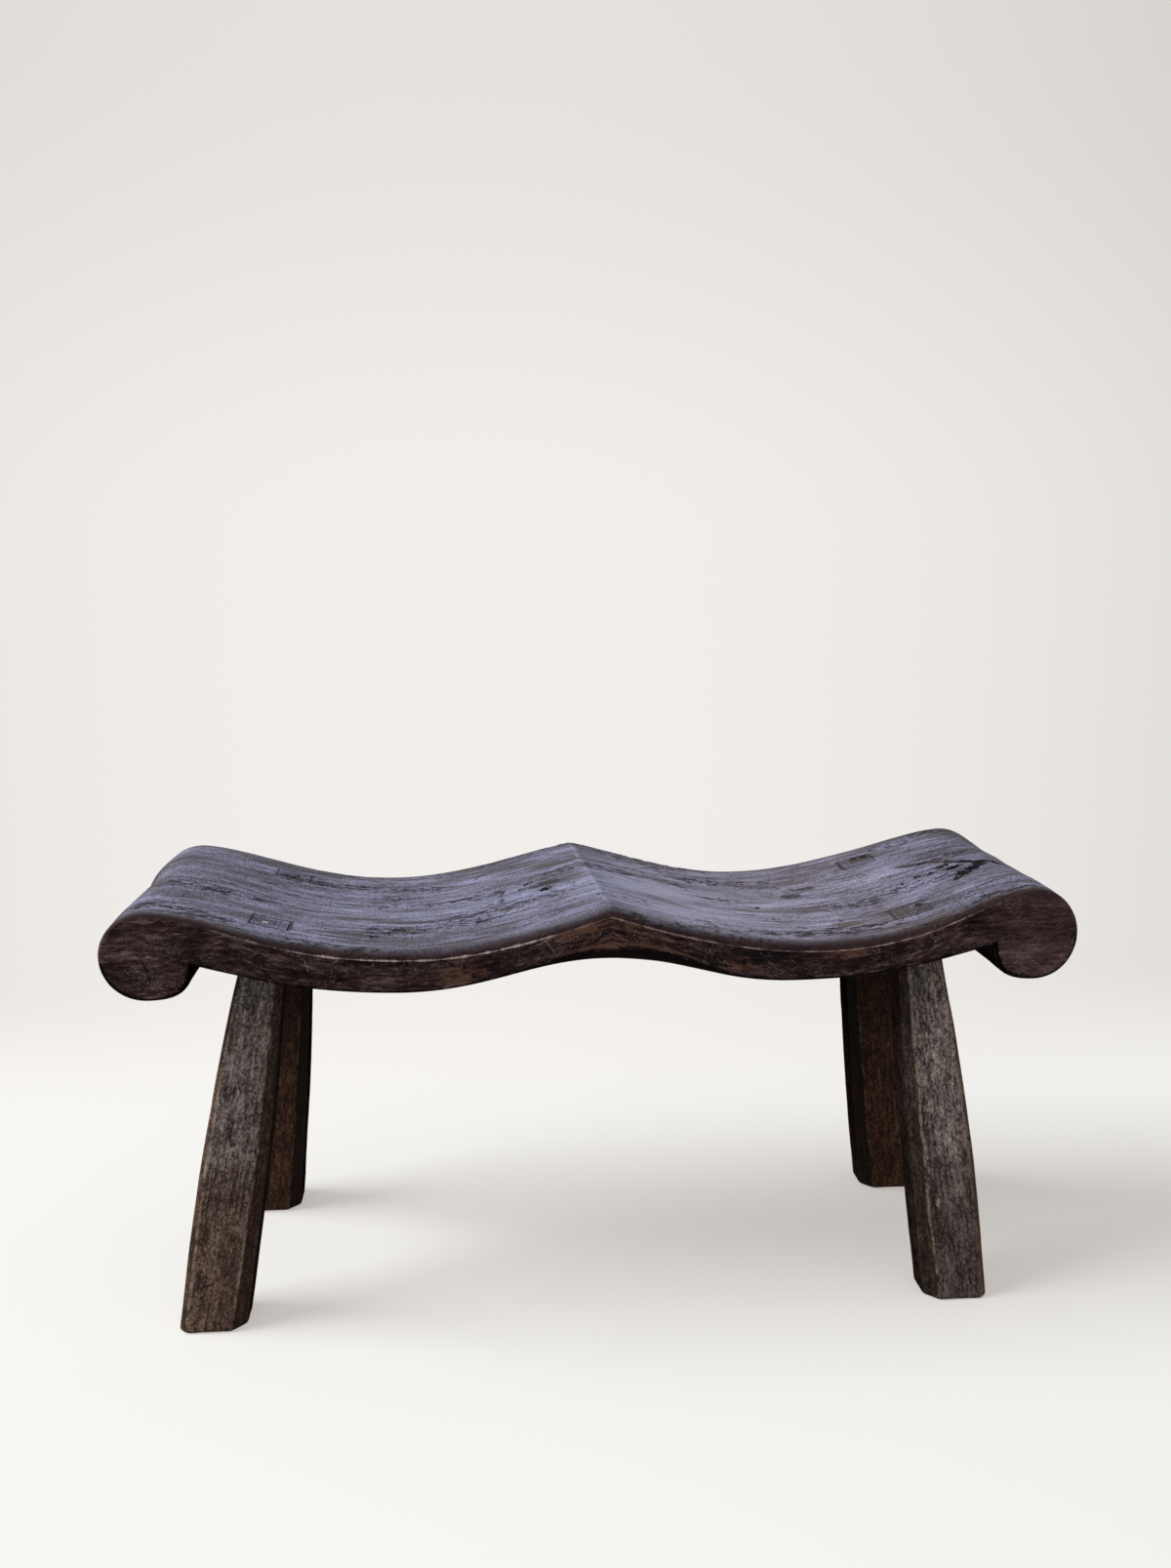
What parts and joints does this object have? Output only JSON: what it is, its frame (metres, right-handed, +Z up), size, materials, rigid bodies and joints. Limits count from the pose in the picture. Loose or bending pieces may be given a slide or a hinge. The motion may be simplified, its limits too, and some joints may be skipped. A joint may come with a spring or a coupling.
{
  "type": "saddle bench",
  "caption": "Low carved wooden bench with a double-saddle seat, rolled ends and splayed chamfered legs that are through-tenoned, wedged and pegged.",
  "frame": {"origin": "on the floor, below the centre of the seat", "axes": "+X along the bench, +Y across it towards its rear edge, +Z up"},
  "size_m": [1.066, 0.346, 0.489],
  "materials": {
    "seat_wood": "dark stained hardwood, hand carved, worn and waxed",
    "leg_wood": "dark stained hardwood, hewn and rasped",
    "wedge_wood": "end grain, dark stained",
    "peg_wood": "end grain, dark stained"
  },
  "bodies": {
    "root": {"seat": "seat_wood", "leg_front_left": "leg_wood", "leg_front_right": "leg_wood", "leg_rear_left": "leg_wood", "leg_rear_right": "leg_wood", "kerf_wedge_front_left": "wedge_wood", "kerf_wedge_front_right": "wedge_wood", "kerf_wedge_rear_left": "wedge_wood", "kerf_wedge_rear_right": "wedge_wood", "end_wedge_front_left": "wedge_wood", "end_wedge_front_right": "wedge_wood", "end_wedge_rear_left": "wedge_wood", "end_wedge_rear_right": "wedge_wood", "peg_front_left": "peg_wood", "peg_front_right": "peg_wood", "peg_rear_left": "peg_wood", "peg_rear_right": "peg_wood"}
  },
  "joints": []
}
